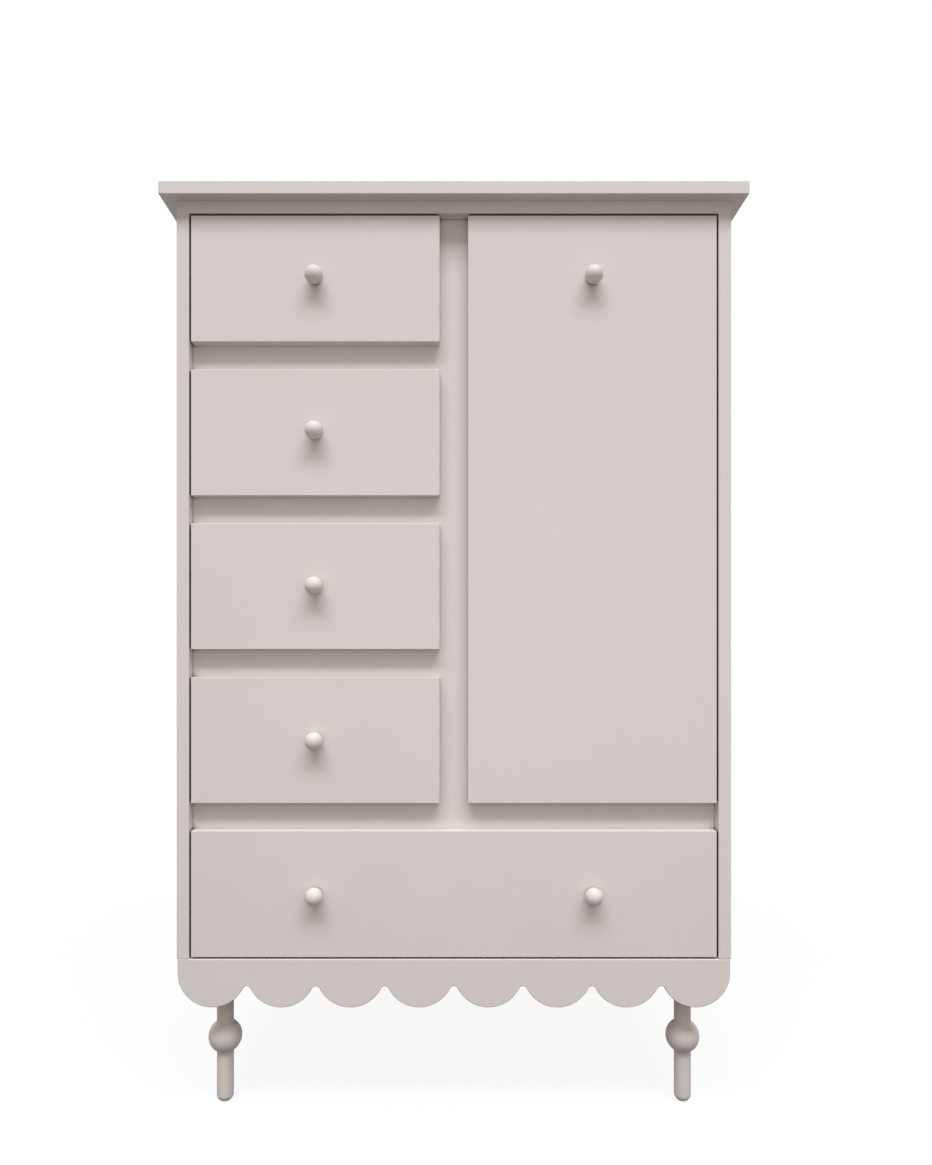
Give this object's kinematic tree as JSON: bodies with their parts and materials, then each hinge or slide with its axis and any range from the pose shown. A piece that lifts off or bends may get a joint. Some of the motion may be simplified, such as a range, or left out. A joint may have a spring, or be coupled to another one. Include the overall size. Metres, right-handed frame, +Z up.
{
  "type": "tall dresser",
  "caption": "Painted tall dresser with a column of small drawers beside a cupboard door, a wide drawer below, a scalloped apron and turned legs with a ball.",
  "frame": {"origin": "on the floor under the middle of the whole object, knobs included", "axes": "+Z up, +X to the right as seen from the front, the front faces -Y"},
  "size_m": [0.84, 0.5076, 1.3436],
  "materials": {
    "paint": "satin greige lacquer",
    "drawer_box_birch": "clear lacquered birch plywood",
    "sheet": "smooth white-coated hardboard",
    "runner_beech": "waxed beech",
    "hardware_steel": "nickel-plated",
    "catch_plastic": "matt black"
  },
  "bodies": {
    "carcass": {"top_panel": "paint", "carcass_top": "paint", "side_panel_left": "paint", "side_panel_right": "paint", "bottom_panel": "paint", "middle_panel": "paint", "partition": "paint", "centre_stile": "paint", "drawer_rail_1": "paint", "drawer_rail_2": "paint", "drawer_rail_3": "paint", "lower_rail": "paint", "back_panel": "sheet", "apron": "paint", "leg_front_left": "paint", "leg_front_right": "paint", "leg_rear_left": "paint", "leg_rear_right": "paint", "shelf_1": "paint", "shelf_2": "paint", "hinge_arm_lower": "hardware_steel", "hinge_arm_upper": "hardware_steel", "magnet_catch": "catch_plastic", "drawer_1_runner_left": "runner_beech", "drawer_1_runner_right": "runner_beech", "drawer_2_runner_left": "runner_beech", "drawer_2_runner_right": "runner_beech", "drawer_3_runner_left": "runner_beech", "drawer_3_runner_right": "runner_beech", "drawer_4_runner_left": "runner_beech", "drawer_4_runner_right": "runner_beech", "wide_drawer_runner_left": "runner_beech", "wide_drawer_runner_right": "runner_beech"},
    "drawer_1": {"drawer_1_front": "paint", "drawer_1_box": "drawer_box_birch", "drawer_1_bottom": "sheet", "drawer_1_knob": "paint"},
    "drawer_2": {"drawer_2_front": "paint", "drawer_2_box": "drawer_box_birch", "drawer_2_bottom": "sheet", "drawer_2_knob": "paint"},
    "drawer_3": {"drawer_3_front": "paint", "drawer_3_box": "drawer_box_birch", "drawer_3_bottom": "sheet", "drawer_3_knob": "paint"},
    "drawer_4": {"drawer_4_front": "paint", "drawer_4_box": "drawer_box_birch", "drawer_4_bottom": "sheet", "drawer_4_knob": "paint"},
    "wide_drawer": {"wide_drawer_front": "paint", "wide_drawer_box": "drawer_box_birch", "wide_drawer_bottom": "sheet", "wide_drawer_knob_left": "paint", "wide_drawer_knob_right": "paint"},
    "door": {"door_panel": "paint", "door_knob": "paint", "hinge_cup_lower": "hardware_steel", "hinge_cup_upper": "hardware_steel", "strike_plate": "hardware_steel"}
  },
  "joints": [
    {"name": "drawer_4_slide", "type": "slide", "parent": "carcass", "child": "drawer_4", "axis": [0, -1, 0], "range_m": [0, 0.3]},
    {"name": "drawer_3_slide", "type": "slide", "parent": "carcass", "child": "drawer_3", "axis": [0, -1, 0], "range_m": [0, 0.3]},
    {"name": "drawer_2_slide", "type": "slide", "parent": "carcass", "child": "drawer_2", "axis": [0, -1, 0], "range_m": [0, 0.3]},
    {"name": "drawer_1_slide", "type": "slide", "parent": "carcass", "child": "drawer_1", "axis": [0, -1, 0], "range_m": [0, 0.3]},
    {"name": "wide_drawer_slide", "type": "slide", "parent": "carcass", "child": "wide_drawer", "axis": [0, -1, 0], "range_m": [0, 0.3]},
    {"name": "door_hinge", "type": "hinge", "parent": "carcass", "child": "door", "pos_m": [0.3613, -0.217, 0.4563], "axis": [0, 0, 1], "range_deg": [0, 95]}
  ]
}
